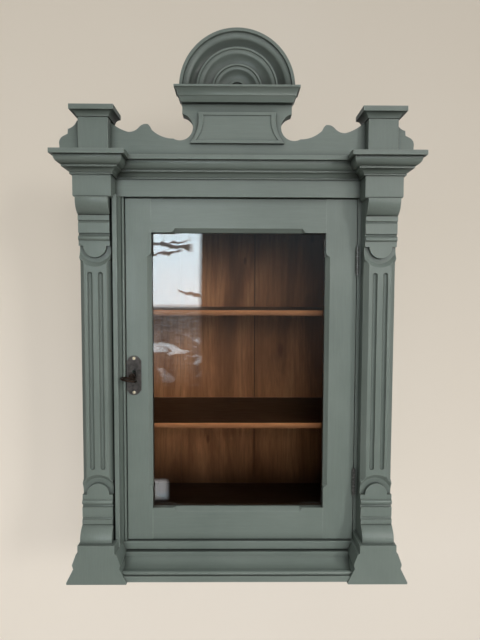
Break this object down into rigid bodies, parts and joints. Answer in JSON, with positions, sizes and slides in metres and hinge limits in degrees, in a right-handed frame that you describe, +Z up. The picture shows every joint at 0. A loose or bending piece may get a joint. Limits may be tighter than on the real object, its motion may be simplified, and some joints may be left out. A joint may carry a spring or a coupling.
{
  "type": "wall cabinet",
  "caption": "Painted wooden wall cabinet with a glazed hinged door, shelves, fluted pilasters, a breakfront cornice and a crest with a turned half-round ornament.",
  "frame": {"origin": "on the wall plane, at the middle of the back's lower edge, 3 mm above the soles of the feet", "axes": "+Z up, the front faces -Y, the wall is the plane y = 0, x = 0 is the middle of the front"},
  "size_m": [0.532, 0.2995, 0.8228],
  "materials": {
    "paint": "satin grey-green paint",
    "stained_wood": "dark brown stain",
    "glass": "clear",
    "steel": "dull, darkened",
    "iron": "dark, handled",
    "brass": "polished"
  },
  "bodies": {
    "cabinet": {"back_board_left": "stained_wood", "back_board_middle": "stained_wood", "back_board_right": "stained_wood", "base_moulding": "paint", "base_return_left": "paint", "base_return_right": "paint", "bottom_panel": "stained_wood", "bottom_rail": "paint", "cornice_centre": "paint", "cornice_deck": "paint", "cornice_front_left": "paint", "cornice_front_right": "paint", "cornice_inner_left": "paint", "cornice_inner_right": "paint", "cornice_side_left": "paint", "cornice_side_right": "paint", "crest_board": "paint", "crest_cap": "paint", "crest_lunette": "paint", "crest_plate": "paint", "face_stile_left": "paint", "face_stile_right": "paint", "foot_block_left": "paint", "foot_block_right": "paint", "frieze_block_left": "paint", "frieze_block_right": "paint", "frieze_rail": "paint", "hanger_plates": "steel", "hinge_frame_leaves": "steel", "hinge_pins": "steel", "left_side_panel": "paint", "lock_side_strip": "paint", "lower_console_left": "paint", "lower_console_right": "paint", "lower_shelf": "stained_wood", "pilaster_left": "paint", "pilaster_right": "paint", "right_side_panel": "paint", "top_panel": "stained_wood", "tower_block_left": "paint", "tower_block_right": "paint", "tower_cap_left": "paint", "tower_cap_right": "paint", "upper_console_left": "paint", "upper_console_right": "paint", "upper_shelf": "stained_wood"},
    "door": {"door_lock_stile": "paint", "door_hinge_stile": "paint", "door_top_rail": "paint", "door_bottom_rail": "paint", "glass_pane": "glass", "glazing_beads": "stained_wood", "hinge_door_leaves": "steel", "lock_case": "steel", "escutcheon": "steel", "escutcheon_pins": "brass"},
    "key": {"key": "iron"},
    "bolt": {"lock_bolt": "steel"}
  },
  "joints": [
    {"name": "door_swing", "type": "hinge", "parent": "cabinet", "child": "door", "pos_m": [0.1836, -0.2404, 0.3116], "axis": [0, 0, 1], "range_deg": [0, 90]},
    {"name": "key_turn", "type": "hinge", "parent": "door", "child": "key", "pos_m": [-0.1616, -0.2375, 0.3063], "axis": [0, 1, 0], "range_deg": [0, 180]},
    {"name": "bolt_slide", "type": "slide", "parent": "door", "child": "bolt", "axis": [-1, 0, 0], "range_m": [0, 0.008]}
  ],
  "couplings": [
    {"joint": "bolt_slide", "follows": "key_turn", "m_per_rad": 0.0025465}
  ]
}
